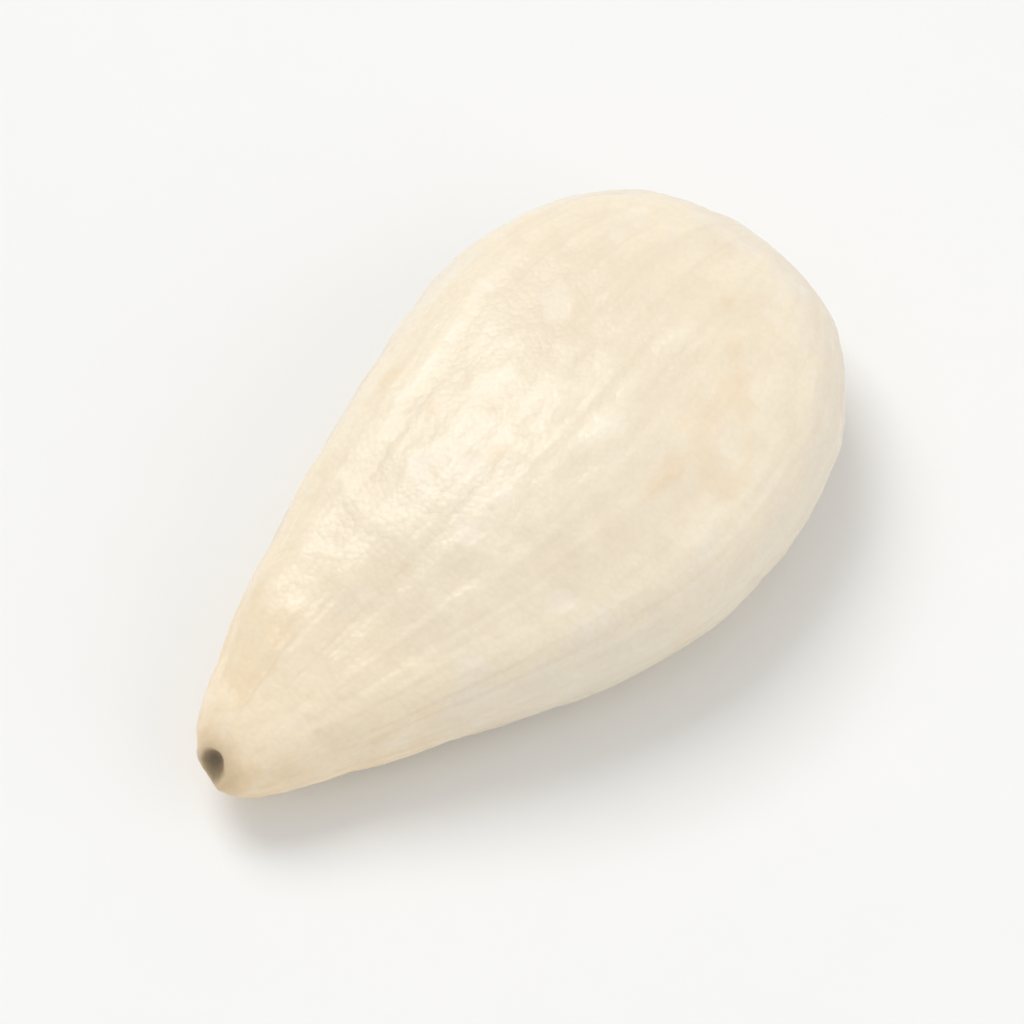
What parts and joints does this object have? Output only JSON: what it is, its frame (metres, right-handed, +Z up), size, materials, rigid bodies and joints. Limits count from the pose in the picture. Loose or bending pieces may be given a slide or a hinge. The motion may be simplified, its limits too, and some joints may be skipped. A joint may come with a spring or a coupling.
{
  "type": "sesame seed",
  "caption": "Hulled white sesame seed: a flattened ivory teardrop with a round head and a short blunt beak, lying on its flatter face.",
  "frame": {"origin": "below the middle of the seed's box, on the surface that the seed rests on", "axes": "+X from the blunt beak to the round head, +Z up through the seed's thickness"},
  "size_m": [0.0034, 0.002, 0.001],
  "materials": {
    "seed_ivory": "smooth, satin and slightly waxy, with a faint glow at thin edges"
  },
  "bodies": {
    "root": {"seed": "seed_ivory"}
  },
  "joints": []
}
